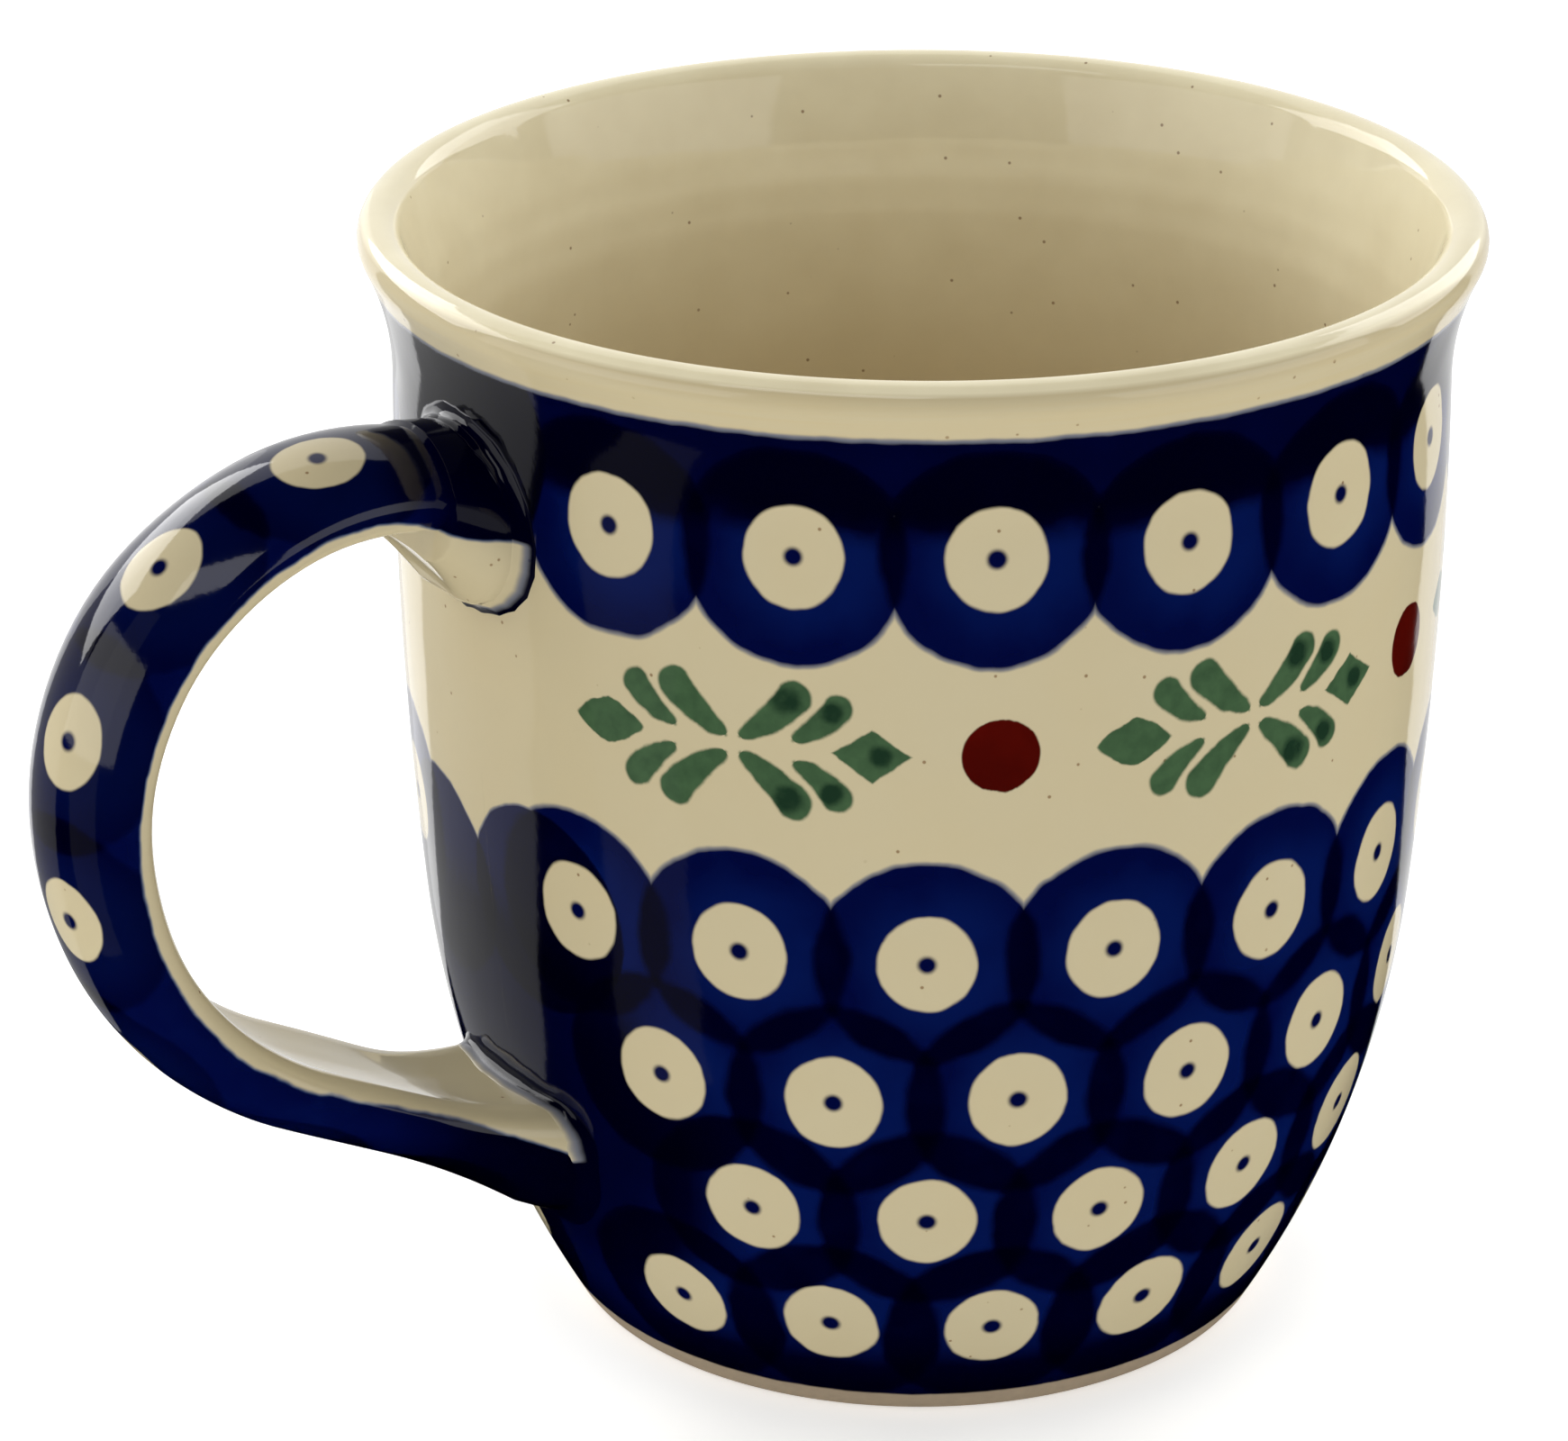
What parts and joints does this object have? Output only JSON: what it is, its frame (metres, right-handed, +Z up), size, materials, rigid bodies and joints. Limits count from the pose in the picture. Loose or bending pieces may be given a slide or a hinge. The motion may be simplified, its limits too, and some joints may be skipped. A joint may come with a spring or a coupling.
{
  "type": "mug",
  "caption": "Stoneware mug with a flared lip, a foot ring and a D-section side handle, decorated with blue, red and green stamped dots and leaves.",
  "frame": {"origin": "on the cup's axis, in the plane that the foot ring stands on", "axes": "+Z up along the cup's axis towards the mouth; the handle reaches out along -X; +Y completes the right-handed frame"},
  "size_m": [0.1268, 0.0918, 0.095],
  "materials": {
    "cup_glaze": "gloss",
    "handle_glaze": "gloss",
    "lute_glaze": "gloss"
  },
  "bodies": {
    "root": {"cup_body": "cup_glaze", "handle": "handle_glaze", "upper_handle_lute": "lute_glaze", "lower_handle_lute": "lute_glaze"}
  },
  "joints": []
}
